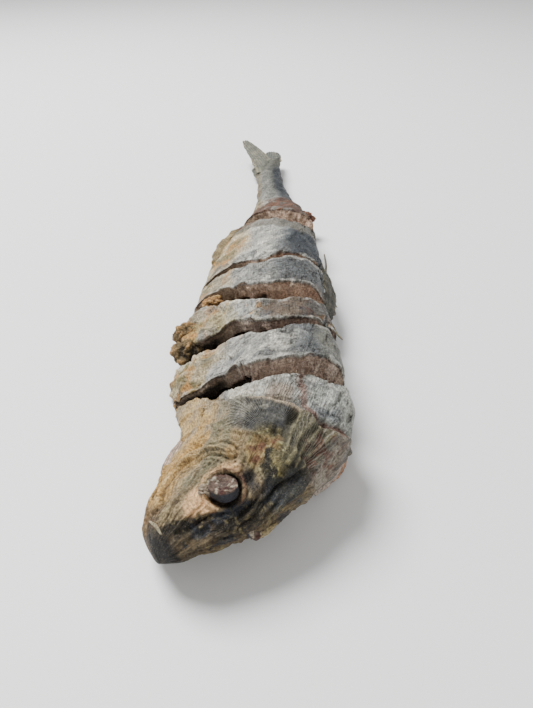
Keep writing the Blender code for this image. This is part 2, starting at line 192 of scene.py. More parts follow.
def round_curve(pairs, angle):
    """The same, for pairs that go once round the fish and close on themselves."""
    before = [(a - 360, v) for a, v in pairs]
    after = [(a + 360, v) for a, v in pairs]
    return smooth_curve(before + list(pairs) + after, angle)


def centre_line(station):
    """Points down the middle of the fish, walked along its heading from the snout."""
    steps = np.linspace(0.0, LOFT_LENGTH + 4.0, CENTRE_STEPS)
    heading = np.radians(smooth_curve(HEADING, steps))
    stride = steps[1] - steps[0]
    x = SNOUT_X + np.cumsum(np.sin(heading)) * stride
    y = SNOUT_Y + np.cumsum(np.cos(heading)) * stride
    height = smooth_curve(CENTRE_HEIGHT, station)
    return np.stack([np.interp(station, steps, x), np.interp(station, steps, y), height], -1)


def fish_point(station, angle, cut_share=0.0, cut_floor=0.0, rise=0.0):
    """A point of the fish's surface. Angle 0 is the back, 90 the right flank, 180 the belly."""
    station, angle = np.broadcast_arrays(np.asarray(station, float), np.asarray(angle, float))
    turn = np.radians(angle)
    power = 2.0 / smooth_curve(BOXINESS, station)
    along = np.sign(np.cos(turn)) * np.abs(np.cos(turn)) ** power
    across = np.sign(np.sin(turn)) * np.abs(np.sin(turn)) ** power
    depth = np.where(along > 0, smooth_curve(BACK_DEPTH, station), smooth_curve(BELLY_DEPTH, station))
    half = np.where(across > 0, smooth_curve(RIGHT_HALF, station), smooth_curve(LEFT_HALF, station))
    a = depth * along
    b = half * across * (1 + smooth_curve(KEEL, station) * along)
    stretch = 1 + rise / np.maximum(np.hypot(a, b), THIN_SECTION)
    a = a * stretch
    b = b * stretch
    roll = smooth_curve(ROLL, station)
    droop = smooth_curve(BELLY_DROOP, station) * along
    to_back = np.radians(roll - 0.5 * droop)
    to_flank = np.radians(roll - droop)
    heading = np.radians(smooth_curve(HEADING, station))
    sideways = a * np.sin(to_back) - b * np.cos(to_flank)
    upwards = a * np.cos(to_back) + b * np.sin(to_flank)
    point = centre_line(station)
    point[..., 2] += upwards
    sunk = cut_share * np.maximum(point[..., 2] - cut_floor - CUT_TILT * sideways, 0.0)
    sideways = sideways * (1 - CUT_NARROWING * np.minimum(sunk, NARROWED_DEPTH))
    point[..., 0] += sideways * np.cos(heading)
    point[..., 1] -= sideways * np.sin(heading)
    point[..., 2] -= sunk
    return rest_on_surface(point, THIN_EDGE * np.sqrt(np.maximum(across, 0.0)))


def rest_on_surface(point, thickness):
    """Flatten the underside onto z = 0, leaving this thickness under the upper skin."""
    height = (point[..., 2] - thickness) / UNDERSIDE_ROUNDING
    height = UNDERSIDE_ROUNDING * np.logaddexp(0.0, height) - UNDERSIDE_FLAT
    point[..., 2] = np.maximum(height, 0.0) + thickness
    return point


def unevenness(point):
    """Low bumps that follow where the point is, so that neighbouring rings agree."""
    x, y, z = point[..., 0], point[..., 1], point[..., 2]
    bumps = np.sin(0.83 * x + 0.31 * y + 0.7) * np.sin(0.52 * y - 0.44 * z + 1.9)
    bumps += 0.7 * np.sin(1.31 * x - 0.62 * z + 2.4) * np.sin(1.07 * y + 0.5)
    return UNEVEN * bumps


LATTICE = 32


def cloud(point, size, seed):
    """Smooth random bumps of about this size in millimetres, from -1 to 1."""
    lattice = np.random.default_rng(seed).uniform(-1.0, 1.0, (LATTICE, LATTICE, LATTICE))
    cell = np.asarray(point, float) / size + 1000.0
    low = np.floor(cell).astype(int)
    t = cell - low
    t = t * t * (3 - 2 * t)
    total = 0.0
    for step in np.ndindex(2, 2, 2):
        near = (low + step) % LATTICE
        corner = lattice[near[..., 0], near[..., 1], near[..., 2]]
        weight = np.where(step, t, 1 - t)
        total = total + corner * (weight[..., 0] * weight[..., 1]) * weight[..., 2]
    return total


def rough_cloud(point, size, seed, layers=4):
    """The same, with finer and finer bumps on top."""
    total = 0.0
    for layer in range(layers):
        total = total + cloud(point, size / 2 ** layer, seed + layer) * 0.55 ** layer
    return total


# Points round each ring: close together on the upper side, wider apart underneath
upper_angles = np.linspace(-72.0, 186.0, 262)
under_angles = np.linspace(186.0, 288.0, 40)[1:-1]
ring_angles = np.concatenate([upper_angles, under_angles])
ring_angles = np.where(ring_angles > 180.0, ring_angles - 360.0, ring_angles)


def torn_rims(cut, number):
    """The two edges of a knife cut, ragged where the dried skin tore."""
    around = np.radians(ring_angles)
    apart = np.full_like(around, CUT_SPACING * number)
    spot = np.stack([TORN_RADIUS * np.cos(around), TORN_RADIUS * np.sin(around), apart], -1)
    front = round_curve(cut["front"], ring_angles) + 0.30 * rough_cloud(spot, 3.0, 11)
    rear = round_curve(cut["rear"], ring_angles) + 0.38 * rough_cloud(spot, 2.6, 23)
    return front, rear


def skin_rings(first, last, count, start_free=False, end_free=False, bunching=1.0):
    """Rings of skin between two edges, as (station, cut share, cut floor, rise, cut place)."""
    rings = []
    for share in np.linspace(0.0, 1.0, count) ** bunching:
        station = first + share * (last - first)
        swell = 0.0 if start_free or end_free else SWELL * np.sin(np.pi * share)
        to_rim = np.minimum(station - first, last - station)
        if start_free:
            to_rim = last - station
        if end_free:
            to_rim = station - first
        lip = LIP_RISE * np.exp(-to_rim / LIP_REACH)
        fade = np.minimum(1.0, np.minimum(station, LOFT_LENGTH + 0.5 * END_FADE - station) / END_FADE)
        rise = (lip + swell + unevenness(fish_point(station, ring_angles))) * fade
        rings.append((station, 0.0, 0.0, rise, -1.0 + 0 * station))
    return rings


def cut_rings(first, last, cut, low, high):
    """Rings down into a knife cut and up again, from place low to place high across it."""
    profile = np.array(CUT_PROFILE)
    run = np.hypot(SLIT_WIDTH * np.diff(profile[:, 0]), SLIT_DEPTH * np.diff(profile[:, 1]))
    run = np.concatenate([[0.0], np.cumsum(run)]) / run.sum()
    place_of = np.interp(np.linspace(0.0, 1.0, cut["rings"]), run, profile[:, 0])
    rings = []
    for place in place_of[(place_of > low) & (place_of < high)]:
        share = float(smooth_curve(CUT_PROFILE, place))
        station = first + place * (last - first)
        bumps = unevenness(fish_point(station, ring_angles))
        rise = LIP_RISE * (1 - share) + bumps
        floor = cut["floor"] + FLOOR_UNEVEN * bumps
        rings.append((station, share, floor, rise, place + 0 * station))
    return rings


class Skin:
    """One stretch of the fish's surface as a grid of rings by angles, in millimetres."""

    def __init__(self, rings):
        self.station = np.array([ring[0] for ring in rings])
        self.angle = np.broadcast_to(ring_angles, self.station.shape)
        self.share = np.array([ring[1] + 0 * ring[0] for ring in rings])
        self.place = np.array([ring[4] for ring in rings])
        self.smooth = fish_point(self.station, self.angle)
        self.point = np.array([fish_point(ring[0], ring_angles, *ring[1:4]) for ring in rings])
        self.sunk = np.linalg.norm(self.point - self.smooth, axis=-1) * (self.place >= 0)

    def outward(self):
        along = np.gradient(self.point, axis=0)
        around = np.roll(self.point, -1, 1) - np.roll(self.point, 1, 1)
        normal = np.cross(along, around)
        return normal / np.maximum(np.linalg.norm(normal, axis=-1, keepdims=True), 1e-9)

    def push(self, height):
        """Raise or sink the surface, and keep it above what it lies on."""
        self.point = self.point + self.outward() * height[..., None]
        self.point[..., 2] = np.maximum(self.point[..., 2], 0.0)


def show_piece(name, point, attributes, material, closed_start=True, closed_end=True):
    """Make a piece from rings of points, with its paint and other values kept at each point."""
    rows, columns = point.shape[:2]
    middle = np.array([FOOTPRINT_MIDDLE[0], FOOTPRINT_MIDDLE[1], 0.0])
    index = np.arange(rows * columns).reshape(rows, columns)
    after = np.roll(index, -1, 1)
    faces = np.stack([index[:-1], index[1:], after[1:], after[:-1]], -1).reshape(-1, 4).tolist()
    if closed_start:
        faces.append(index[0].tolist())
    if closed_end:
        faces.append(index[-1][::-1].tolist())
    mesh = bpy.data.meshes.new(name)
    mesh.from_pydata(((point - middle) * MM).reshape(-1, 3).tolist(), [], faces)
    mesh.polygons.foreach_set("use_smooth", [True] * len(faces))
    for attribute, values in attributes.items():
        values = np.broadcast_to(values, point.shape)
        if attribute == "paint":
            opaque = np.ones(point.shape[:-1] + (1,))
            values = np.concatenate([np.clip(values, 0.0, 1.0), opaque], -1)
            data = mesh.attributes.new(attribute, "FLOAT_COLOR", "POINT").data
            data.foreach_set("color", values.astype(np.float32).ravel())
        else:
            data = mesh.attributes.new(attribute, "FLOAT_VECTOR", "POINT").data
            data.foreach_set("vector", values.astype(np.float32).ravel())
    mesh.materials.append(material)
    mesh.update()
    piece = bpy.data.objects.new(name, mesh)
    put_in_scene(piece)
    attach(piece, "root")
    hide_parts("sardine")


def show_skin(skin, name, paint, finish, closed_start=False, closed_end=False, **more):
    """Make a stretch of skin, with its place on the fish kept for the streaks and scales."""
    flow = np.stack([skin.station, np.radians(skin.angle) * GIRTH_RADIUS, skin.sunk], -1)
    attributes = {"paint": paint, "finish": finish, "flow": flow, **more}
    show_piece(name, skin.point, attributes, fish_material, closed_start, closed_end)


# Dried skin and flesh
# Thin silver skin that shrank onto the flesh, with fine wrinkles, scale pits and dust, and
# dry fibrous flesh where it was cut. Paint holds the broad colours of each place. Finish
# holds how much of it is bare flesh, how much it shines and how scaly it is.
DUST_COLOUR = (0.34, 0.29, 0.18, 1.0)
RAY_COLOUR = (0.28, 0.26, 0.21, 1.0)
STREAK_STRETCH = (0.55, 3.6, 2.2)
SCALE_STRETCH = (0.62, 0.75, 0.0)
GRAIN_SCALE = 2300.0
DUST_SCALE = 5200.0
WANDER_SCALE = 700.0
RAYS_IN_A_TURN = 112.0
RAY_WANDER = 9.0


def dried_material(name, bump_height, dust_share, mottle_scale=520.0):
    """Dried fish: paint and finish from the mesh, with mottling, grain, streaks and dust."""
    material = bpy.data.materials.new(name)
    material.use_nodes = True
    tree = material.node_tree
    shader = tree.nodes["Principled BSDF"]

    def fill(socket, value):
        if isinstance(value, bpy.types.NodeSocket):
            tree.links.new(value, socket)
        else:
            socket.default_value = value

    def add(kind, inputs, **settings):
        node = tree.nodes.new("ShaderNode" + kind)
        for setting, value in settings.items():
            setattr(node, setting, value)
        for key, value in inputs.items():
            fill(node.inputs[key], value)
        return node.outputs

    def math(operation, *values, clamp=False):
        return add("Math", dict(enumerate(values)), operation=operation, use_clamp=clamp)[0]

    def scaled(value, factor, offset, clamp=False):
        return math("MULTIPLY_ADD", value, factor, offset, clamp=clamp)

    def mix(blend, factor, first, second):
        return add("Mix", {0: factor, 6: first, 7: second}, data_type="RGBA", blend_type=blend)[2]

    def noise(where, scale, detail, roughness, low=0.0, high=1.0):
        """Noise whose part from low to high is stretched to 0 to 1, so that it gets strong."""
        inputs = {"Vector": where, "Scale": scale, "Detail": detail, "Roughness": roughness}
        return spread(add("TexNoise", inputs)["Fac"], low, high)

    def spread(value, low, high):
        return add("MapRange", {"Value": value, "From Min": low, "From Max": high})["Result"]

    def kept(attribute, output="Vector"):
        return add("Attribute", {}, attribute_name=attribute)[output]

    def stretched(stretch):
        return add("Mapping", {"Vector": kept("flow"), "Scale": stretch})["Vector"]

    bare, shine, scaly = add("SeparateXYZ", {"Vector": kept("finish")})
    spot = add("TexCoord", {})["Object"]
    mottle = noise(spot, mottle_scale, 5.0, 0.65, 0.33, 0.67)
    grain = noise(spot, GRAIN_SCALE, 3.0, 0.6, 0.36, 0.64)
    streak = noise(stretched(STREAK_STRETCH), 1.0, 4.0, 0.6, 0.35, 0.65)
    dust = noise(spot, DUST_SCALE, 1.0, 0.5, 0.58, 0.70)
    dust = math("MULTIPLY", dust, dust_share, clamp=True)
    scales = add("TexVoronoi", {"Vector": stretched(SCALE_STRETCH), "Scale": 1.0})["Distance"]
    # Striae: fine bright rays on the gill cover, which fan holds as turn, distance and strength
    turn, _, strength = add("SeparateXYZ", {"Vector": kept("fan")})
    wander = math("MULTIPLY", noise(spot, WANDER_SCALE, 3.0, 0.6), RAY_WANDER)
    rays = scaled(turn, RAYS_IN_A_TURN, wander)
    rays = math("MULTIPLY", spread(math("SINE", rays), 0.0, 0.9), strength, clamp=True)

    colour = mix("MULTIPLY", 1.0, kept("paint", "Color"), scaled(mottle, 0.52, 0.72))
    colour = mix("MULTIPLY", 1.0, colour, scaled(grain, 0.80, 0.58))
    colour = mix("MULTIPLY", scaled(bare, -0.5, 0.85), colour, scaled(streak, 0.7, 0.62))
    colour = mix("MIX", dust, colour, DUST_COLOUR)
    colour = mix("MIX", math("MULTIPLY", rays, 0.55), colour, RAY_COLOUR)
    roughness = math("SUBTRACT", scaled(mottle, 0.22, 0.42), math("MULTIPLY", shine, 0.16))
    relief = scaled(mottle, 0.45, math("MULTIPLY", grain, 0.32))
    relief = scaled(scaled(bare, -0.22, 0.44), streak, relief)
    relief = scaled(math("MULTIPLY", scales, scaly), 0.7, relief)
    relief = scaled(rays, 0.4, relief)
    bump = add("Bump", {"Strength": 1.0, "Distance": bump_height * MM, "Height": relief})["Normal"]
    fill(shader.inputs["Base Color"], colour)
    fill(shader.inputs["Roughness"], scaled(bare, 0.30, roughness, clamp=True))
    fill(shader.inputs["Metallic"], math("MULTIPLY", shine, 0.3))
    fill(shader.inputs["Specular IOR Level"], 0.3)
    fill(shader.inputs["Normal"], bump)
    return material


fish_material = dried_material("dried skin and flesh", 0.46, 0.25)


# Body skin colours
# A sardine's back is dark blue-grey, its flank silver and its belly pale. Dried, the silver
# is chalky, the belly is stained ochre and olive by its own oil, and the cuts are brown.
# Painted shade darkens the cuts under the skin's edge and down at their floors, and the
# wrinkles; a painted highlight runs along the cut rims.
SILVER = (170, 169, 161)
CHALK = (216, 212, 198)
BLUE_GREY = (112, 117, 119)
SLATE = (98, 104, 108)
BACK_DARK = (54, 60, 67)
OLIVE = (112, 102, 62)
OCHRE = (186, 136, 72)
CREAM = (196, 176, 136)
KHAKI = (150, 140, 96)
FLESH = (180, 162, 148)
FLESH_PALE = (196, 170, 144)
FLESH_DARK = (122, 104, 92)
# Painted shade: near black for the deep parts of the cuts and the open belly
DEEP_CUT_SHADE = (24, 18, 14)
BLOOD = (98, 54, 42)
DRIED_BLOOD = (78, 54, 46)
BLACK = (36, 34, 32)
HIDDEN_SHADE = 0.8
BACK_EDGE = ((20, -16), (31, -12), (37, 8), (46, 26), (56, 39), (66, 49), (84, 51), (106, 54),
             (125, 58), (145, 68), (172, 74))
BELLY_EDGE = ((20, 118), (30, 116), (44, 118), (56, 104), (75, 104), (95, 98), (108, 96),
              (125, 110), (172, 128))
DARK_BACK_COVER = ((20, 0.25), (33, 0.30), (44, 0.58), (56, 0.90), (70, 0.96), (172, 0.96))


def ramp(value, low, high):
    """0 below low, 1 above high and smooth between; low may be the larger."""
    t = np.clip((value - low) / (high - low), 0.0, 1.0)
    return t * t * (3 - 2 * t)


def window(value, start, full, last_full, end):
    """1 from full to last_full, 0 outside start and end, and smooth between."""
    return ramp(value, start, full) * ramp(value, end, last_full)


def srgb(red, green, blue):
    """A colour as the eye reads it, 0 to 255, turned into light."""
    value = np.array([red, green, blue]) / 255.0
    return np.where(value <= 0.04045, value / 12.92, ((value + 0.055) / 1.055) ** 2.4)


def lay(paint, colour, cover):
    """Lay a colour over the paint where cover is above 0."""
    cover = np.clip(cover, 0.0, 1.0)[..., None]
    return paint * (1 - cover) + np.asarray(colour) * cover


def lay_coats(paint, coats):
    """Lay coats of (colour, cover) over the paint one after another."""
    for colour, cover in coats:
        paint = lay(paint, srgb(*colour), cover)
    return paint


def streaked(skin, along, around, seed, layers=3):
    """Noise drawn out on the skin, with its own size along the fish and around it."""
    turned = np.radians(skin.angle) * GIRTH_RADIUS / around
    return rough_cloud(np.stack([skin.station / along, turned, 0.3 * skin.sunk], -1), 1.0, seed, layers)


def crease(noise, width):
    """1 along the lines where the noise passes zero, 0 elsewhere."""
    return np.clip(1 - np.abs(noise) / width, 0.0, 1.0)


def body_creases(skin):
    """Thin wrinkles that run up and down the flank, deepest towards the back."""
    lines = crease(streaked(skin, 1.6, 7.0, 71), 0.10) * ramp(cloud(skin.smooth, 6.0, 72), -0.2, 0.5)
    shrunk = crease(streaked(skin, 5.0, 1.8, 73), 0.10) * ramp(skin.angle, 66, 30)
    return np.clip(lines + shrunk, 0.0, 1.0) * (skin.place < 0)


def body_paint(skin):
    """Paint and finish of the flank, back, belly and cuts."""
    spot = skin.smooth
    along, around = skin.station, skin.angle

    def soft(size, seed):
        return cloud(spot, size, seed)

    def rough(size, seed):
        return rough_cloud(spot, size, seed)

    uneven_angle = around + 10 * rough(5.0, 3)
    to_back = smooth_curve(BACK_EDGE, along) - uneven_angle
    to_belly = uneven_angle - smooth_curve(BELLY_EDGE, along)
    third = window(along, 47, 50, 60, 66)
    behind_last = ramp(along - round_curve(CUTS[4]["front"], around), -7.0, -4.5)
    stump = ramp(along, 104, 107) * ramp(along + 2.5 * soft(3.0, 19), 128, 123)
    specks = ramp(soft(0.55, 10), 0.42, 0.60) * ramp(soft(3.5, 22), -0.3, 0.3)
    rim_gap = np.full_like(along, 99.0)
    for cut in CUTS[:4]:
        for rim in ("front", "rear"):
            rim_gap = np.minimum(rim_gap, np.abs(along - round_curve(cut[rim], around)))
    crackle = crease(streaked(skin, 1.5, 3.2, 90), 0.22) * ramp(rim_gap + 2.0 * soft(2.5, 91), 5.5, 2.0)
    crackle *= ramp(along, 27, 30) * ramp(to_belly, 0, -16)
    behind_first = window(along, 47, 49.5, 54, 57) * window(around, 14, 26, 60, 72)
    hidden = np.clip(ramp(around, -55, -80) + ramp(-around, 100, 120), 0, 1)
    paint = lay_coats(srgb(*SILVER), (
        (CHALK, ramp(streaked(skin, 2.0, 4.0, 5), -0.2, 0.8) * 0.9),
        (SLATE, ramp(rough(3.0, 7), 0.0, 0.8) * 0.65),
        (BLUE_GREY, ramp(to_back, -16, 2) * 0.85),
        (BACK_DARK, ramp(to_back + 5 * soft(1.6, 16), -4, 12) * smooth_curve(DARK_BACK_COVER, along)),
        ((118, 116, 98), ramp(to_back, 6, 24) * ramp(along, 66, 46) * 0.6),
        (CREAM, ramp(to_belly, -12, 6) * 0.85),
        (OLIVE, ramp(to_belly, -4, 14) * ramp(streaked(skin, 1.5, 4.0, 8), -0.3, 0.4) * 0.85),
        (OCHRE, ramp(to_belly, -8, 10) * ramp(rough(3.0, 9), 0.0, 0.5) * 0.8),
        (KHAKI, third * ramp(rough(4.0, 17), -0.2, 0.5) * ramp(around, 20, 40) * 0.55),
        (OCHRE, third * ramp(rough(2.6, 18), 0.25, 0.6) * 0.75),
        ((84, 80, 76), third * ramp(around, 80, 62) * ramp(soft(3.0, 28), -0.8, 0.0) * 0.85),
        (DRIED_BLOOD, third * ramp(rough(2.6, 29), -0.1, 0.5) * window(around, 4, 12, 52, 66) * 0.85),
        ((120, 122, 120), window(along, 62, 65, 75, 78) * 0.4),
        ((104, 106, 98), ramp(along, 126, 132) * ramp(around, 50, 70) * 0.65),
        ((112, 112, 102), ramp(along + 2.0 * soft(3.0, 95), 158, 166) * 0.85),
        ((112, 108, 98), behind_last * ramp(along, 130, 112) * 0.8),
        ((84, 60, 50), stump * ramp(rough(3.0, 20), -0.6, 0.1) * 0.95),
        ((118, 80, 60), stump * ramp(rough(2.0, 21), 0.2, 0.6) * 0.7),
        (BLACK, specks * ramp(to_belly, 0, -20) * 0.75),
        ((40, 36, 35), crackle * 0.95),
        ((84, 86, 88), ramp(rough(2.2, 92), 0.15, 0.6) * ramp(rim_gap, 5.5, 2.0) * 0.6),
        ((112, 98, 84), behind_first * ramp(rough(2.4, 94), -0.6, 0.1) * 0.85),
        # Painted highlight: a pale ragged line along both rims of the first four cuts
        ((216, 212, 200), ramp(rim_gap + 1.1 * soft(1.3, 93), 0.8, 0.2) * 0.4),
        # Painted shade: dark along the wrinkles, where the relief dips into them
        (BLACK, body_creases(skin) * 0.65),
    ))
    paint = lay(paint, srgb(*CREAM) * HIDDEN_SHADE, hidden * 0.5)

    def inner(size, seed):
        return rough_cloud(skin.point, size, seed)

    depth = np.where(skin.place >= 0, skin.sunk, 0.0)
    wall = ramp(depth, 0.10, 0.30)
    belly_end = ramp(around, 108, 120) * (along < 60)
    notch = np.where(along < 48, ramp(around, 100, 112), belly_end)
    flesh = lay_coats(srgb(*FLESH), (
        (FLESH_DARK, ramp(streaked(skin, 2.0, 0.9, 12), 0.0, 0.8) * 0.5),
        ((190, 156, 130), ramp(along, 54, 58) * 0.6),
        (FLESH_PALE, ramp(inner(1.6, 13), 0.2, 0.8) * 0.5),
        (BLOOD, ramp(inner(2.5, 14), 0.1, 0.6) * 0.22),
        ((112, 96, 74), ramp(around, 78, 112) * 0.7),
        ((96, 74, 64), window(along, 43, 45, 50, 54) * 0.6),
        # Painted shadow: a thin dark maroon band just under the skin's edge, where the skin overhangs the
        # flesh
        ((44, 26, 22), ramp(depth, 0.55 + 0.35 * soft(2.0, 24), 0.2) * 0.85),
        # Painted shade down in the cuts: near black at their belly end, in the open belly and at their
        # floors
        (DEEP_CUT_SHADE, notch * ramp(depth, 0.6, 1.6) * 0.95),
        (DEEP_CUT_SHADE, body_hollow(skin) * 0.92),
        (DEEP_CUT_SHADE, ramp(skin.share, 0.86, 1.0) * 0.85),
    ))
    paint = paint * (1 - wall[..., None]) + flesh * wall[..., None]
    shine = (1 - wall) * ramp(to_belly, 8, -12) * (0.55 + 0.35 * soft(3.0, 15)) * (1 - 0.8 * stump)
    return paint, np.stack([np.maximum(wall, 0.7 * stump), shine, (1 - wall) * (1 - stump)], -1)


def body_hollow(skin):
    """Where the empty belly opens in a cut, under a rim of flesh."""
    low = skin.sunk - 3.0 - 0.8 * cloud(skin.point, 2.0, 25)
    on_belly = ramp(skin.angle + 8 * cloud(skin.point, 2.5, 26), 56, 70)
    return ramp(low, 0.0, 1.0) * on_belly * (skin.place > 0.4)


def body_relief(skin):
    """Wrinkles, scale pits and torn flesh, in millimetres."""
    inside = ramp(skin.sunk, 0.15, 0.8)
    height = 0.16 * rough_cloud(skin.smooth, 3.4, 31) + 0.10 * streaked(skin, 1.2, 3.0, 32)
    height = height - 0.36 * body_creases(skin)
    belly = ramp(skin.angle - smooth_curve(BELLY_EDGE, skin.station), -6, 12) * ramp(skin.station, 34, 44)
    height = height + belly * ramp(skin.station, 76, 66) * (0.75 * rough_cloud(skin.smooth, 2.6, 36) + 0.2)
    flesh = 0.12 * streaked(skin, 1.6, 1.0, 34) + 0.45 * rough_cloud(skin.point, 2.0, 35, 5)
    flesh = flesh - 1.6 * body_hollow(skin)
    return height * (1 - inside) + flesh * inside


# Head and collar
# The head with its gill covers, and the band of skin behind them down to the first cut.
# Thin skin shrank tight over the bones, so each plate, rim and ridge of them stands out.
HEAD_SKIN = (142, 124, 94)
HEAD_BLACK = (25, 24, 23)
HEAD_BROWN = (94, 80, 58)
HEAD_GOLD = (214, 172, 104)
HEAD_CREAM = (240, 194, 142)
HEAD_OLIVE = (106, 98, 66)
GILL_GREY = (84, 87, 86)
GILL_TAN = (168, 144, 102)
GILL_PINK = (150, 142, 130)
EYE_PLACE = (10.8, 22.0)
EYE_RIM = 2.95
GILL_EDGE = ((-100, 27.0), (-46, 27.0), (-30, 25.6), (-14, 24.6), (-1, 25.0), (7, 24.9), (20, 24.6),
             (42, 24.0), (58, 24.0), (80, 25.2), (100, 27.4), (128, 31.0), (160, 33.0))
CHEEK_EDGE = ((-60, 19.6), (4, 19.6), (18, 19.2), (40, 18.4), (60, 18.9), (80, 19.8), (100, 22.5),
              (150, 24.0))
CROWN_EDGE = ((0, 122), (1.2, 100), (2.2, 70), (3.4, 56), (4.8, 37), (8.6, 15), (11.6, 4), (15.8, -2),
              (22, -10))
# Lines drawn on the head, each as pairs of (distance from the snout, angle)
HEAD_LINES = {
    "lip": ((4.0, 104), (4.8, 99), (8.2, 111), (13.4, 106), (15.2, 83), (15.4, 60), (15.2, 38)),
    "jaw": ((1.5, 128), (5.6, 127), (9.4, 126), (13.4, 120), (17.4, 110), (19.0, 92)),
    "outer_jaw": ((1.2, 142), (4.4, 141), (9.4, 142), (14.0, 138)),
    "red_seam": ((31.5, 8), (30.6, 5), (28.4, 1), (26.2, -3), (25.2, -10), (25.3, -20), (26.2, -35),
                 (27.2, -46)),
    "mouth": ((0.8, 92), (2.4, 112), (5.0, 117), (9.0, 118), (12.5, 113)),
    "brow": ((3.0, 22), (6.0, 14), (9.0, 6), (12.0, -2), (16.0, -8), (20.0, -14)),
    "skull": ((2.5, -2), (7.0, -14), (12.0, -24), (17.0, -32), (21.0, -36)),
    "slit": ((10.5, -2), (13.0, -8), (16.0, -16), (19.0, -22)),
    "cheek_fold": ((16.5, 108), (20.0, 92), (21.0, 70), (20.6, 48)),
    "throat_crack": ((30.0, 108), (28.4, 110), (26.6, 113)),
}
GILL_RAYS = (((18.6, -8), (21.4, -7), (24.2, -9)), ((18.8, -14), (21.4, -14), (24.6, -17)),
             ((19.0, -3), (21.4, -2), (24.2, -3)), ((19.4, -20), (22.0, -22), (24.8, -26)),
             ((20.5, -30), (23.0, -33), (25.6, -37)))
GILL_RAY_WIDTH = 0.24
CURVE_STEPS = 6
# Ridges along those lines: how far beside the line, half width and height, in millimetres
RIDGES = (("lip", 0.0, 0.38, 0.55), ("lip", 1.0, 0.35, -0.42), ("jaw", 0.0, 0.4, 0.50),
          ("jaw", 1.0, 0.35, -0.35), ("outer_jaw", 0.0, 0.5, 0.35), ("mouth", 0.0, 0.30, -0.55),
          ("brow", 0.0, 0.55, -0.55), ("skull", 0.0, 0.8, 0.45), ("slit", 0.0, 0.45, -0.60),
          ("cheek_fold", 0.0, 0.4, 0.25), ("red_seam", 0.0, 0.5, -0.35))
# Dimples between the bones: place, half width and depth
DIMPLES = (((23.6, -1), 1.0, 0.9), ((13.8, 6), 1.3, 0.8), ((15.6, -12), 1.4, 0.9), ((17.8, -23), 1.2, 0.8),
           ((20.4, 4), 1.2, 0.7), ((6.4, 21), 0.7, 0.5), ((18.4, 14), 1.1, 0.5))
# Spots of red stain, and dark spots of painted shade in most of the dimples: place and size
RED_STAINS = (((17.4, 13), 1.5), ((16.6, 8), 1.2), ((18.4, 9), 1.1), ((19.6, 2), 1.0))
DIMPLE_SHADE_SPOTS = (((13.8, 6), 1.6), ((15.4, -11), 2.0), ((17.8, -22), 1.8), ((23.6, -1), 1.5), ((20.6, -4), 1.0))

front, rear = torn_rims(CUTS[0], 1)
snout = np.zeros_like(ring_angles)
head = Skin(skin_rings(snout, front, 170, start_free=True, bunching=1.15)
            + cut_rings(front, rear, CUTS[0], 0.0, 0.51))
spot = head.smooth
station, angle = head.station, head.angle


def line_distance(point, line):
    """Distance in millimetres from each point to a line drawn on the skin.

    The line is given as pairs of (distance from the snout, angle).
    """
    line = np.array(line, dtype=float)
    places = np.linspace(0.0, 1.0, len(line))
    fine = np.linspace(0.0, 1.0, CURVE_STEPS * len(line))
    station = smooth_curve(list(zip(places, line[:, 0])), fine)
    angle = smooth_curve(list(zip(places, line[:, 1])), fine)
    path = fish_point(station, angle)
    best = np.full(point.shape[:-1], 1e9)
    for k in range(len(path) - 1):
        step = path[k + 1] - path[k]
        t = np.clip(((point - path[k]) @ step) / max(step @ step, 1e-9), 0.0, 1.0)
        gap = np.linalg.norm(point - path[k] - t[..., None] * step, axis=-1)
        best = np.minimum(best, gap)
    return best


def bell(distance, half_width):
    """1 on a line and falling off smoothly beside it."""
    return np.exp(-(distance / half_width) ** 2)


def way_from(place):
    """The way to each point of the head from this place on its skin."""
    return spot - fish_point(*place)


def far_from(place):
    """How far each point of the head is from this place on its skin."""
    return np.linalg.norm(way_from(place), axis=-1)


def soft(size, seed):
    return cloud(spot, size, seed)


def rough(size, seed, layers=4):
    return rough_cloud(spot, size, seed, layers)


gaps = {name: line_distance(spot, line) for name, line in HEAD_LINES.items()}
lip_gap = gaps["lip"]
ray_gaps = [line_distance(spot, line) for line in GILL_RAYS]
from_gill = station - round_curve(GILL_EDGE, angle)
from_cheek = station - round_curve(CHEEK_EDGE, angle)
on_gill = ramp(from_gill, 0.10, -0.10)
before_gill = ramp(from_gill, 0.1, -0.4)
upper = window(angle, -80, -60, 160, 178)
eye_gap = far_from(EYE_PLACE)
deep = ramp(head.sunk, 0.15, 0.8)

# Striae fan out over the gill cover and the collar from the cover's front upper corner, and
# over the nape from a place of its own
fan_way = way_from((20.2, 7.0))
fan_turn = np.arctan2(fan_way[..., 1], -fan_way[..., 0])
fan_far = np.linalg.norm(fan_way, axis=-1)
ray_strength = window(fan_far, 1.0, 2.6, 9.0, 12.5) * window(angle, -6, 2, 62, 92)
ray_strength *= ramp(from_cheek, -0.2, 0.6) * (0.75 + 0.5 * soft(2.5, 46)) * (head.place < 0)
ray_strength *= 1 - ramp(from_gill, 0.0, 0.4) * ramp(angle, 20, 30)
nape_way = way_from((18.0, -24.0))
nape_strength = ramp(np.linalg.norm(nape_way, axis=-1), 1.0, 2.4) * window(angle, -34, -28, -6, -2)
nape_strength *= on_gill * ramp(station, 19, 20.5)
fan_turn = np.where(angle < -3, np.arctan2(nape_way[..., 1], -nape_way[..., 0]), fan_turn)
fan = np.stack([fan_turn, fan_far, np.clip(ray_strength + nape_strength, 0.0, 1.0)], -1)

